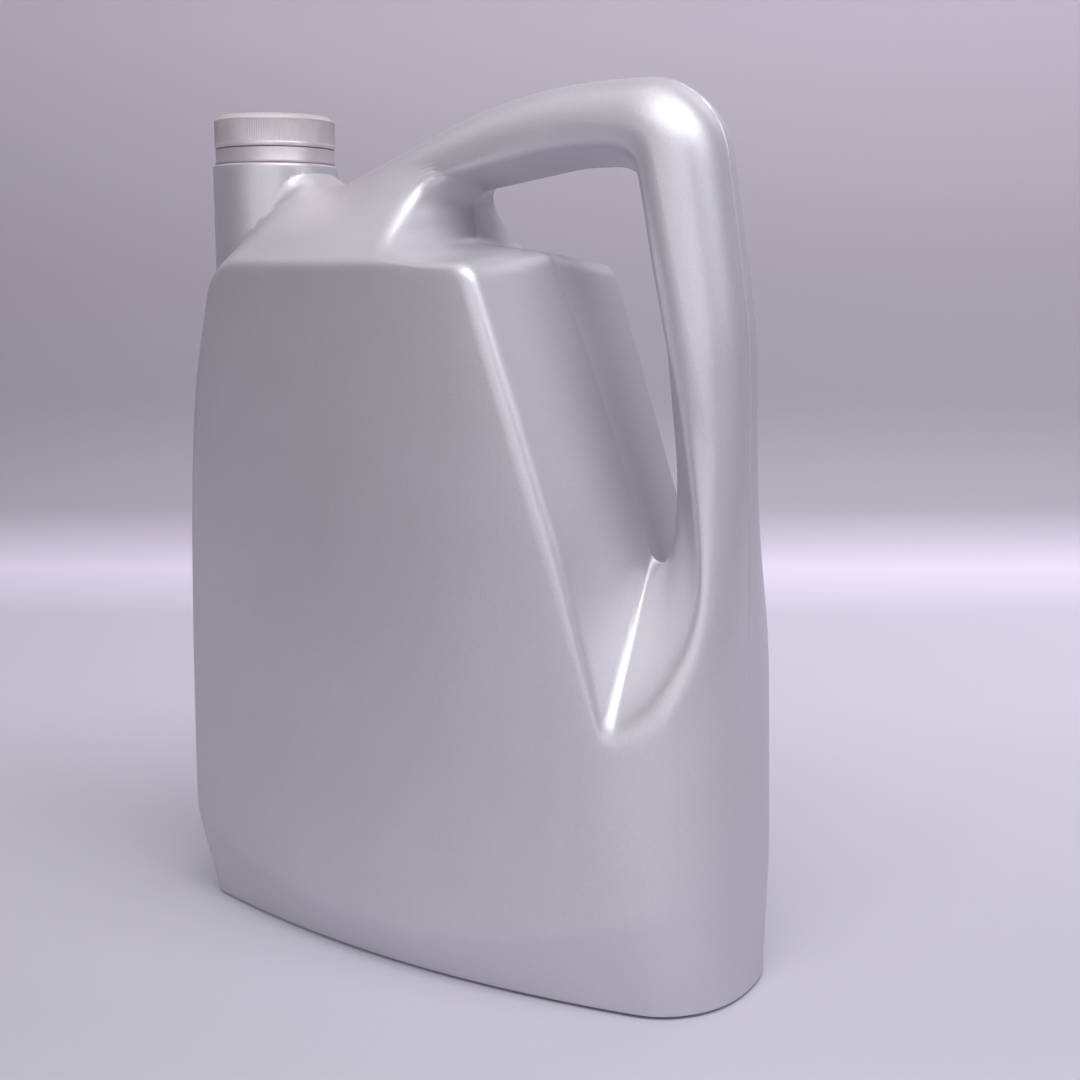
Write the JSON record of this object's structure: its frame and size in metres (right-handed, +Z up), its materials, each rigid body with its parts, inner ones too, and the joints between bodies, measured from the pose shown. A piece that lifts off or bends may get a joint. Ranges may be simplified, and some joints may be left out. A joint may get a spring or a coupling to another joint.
{
  "type": "motor oil bottle",
  "caption": "Blow-moulded motor oil bottle with bowed side panels, a through handle at one end and a threaded neck with a knurled screw cap at the other.",
  "frame": {"origin": "on the standing surface, under the middle of the bottle's bounding box", "axes": "+X from the neck towards the handle, +Y square to the parting plane of the two mould halves, +Z up"},
  "size_m": [0.2359, 0.104, 0.3175],
  "materials": {
    "silver_plastic": "satin metallic silver, fine grain",
    "band_plastic": "satin silver",
    "cap_plastic": "satin silver, knurled",
    "foam_liner": "matt foam"
  },
  "bodies": {
    "bottle": {"bottle_body": "silver_plastic", "tamper_band": "band_plastic"},
    "liner": {"cap_liner": "foam_liner"},
    "cap": {"cap": "cap_plastic"}
  },
  "joints": [
    {"name": "cap_lift", "type": "slide", "parent": "bottle", "child": "liner", "axis": [0, 0, 1], "range_m": [0, 0.012]},
    {"name": "cap_turn", "type": "hinge", "parent": "liner", "child": "cap", "pos_m": [-0.0921, 0, 0.2942], "axis": [0, 0, 1], "range_deg": [0, 1080]}
  ],
  "couplings": [
    {"joint": "cap_lift", "follows": "cap_turn", "m_per_rad": 0.00063662}
  ]
}
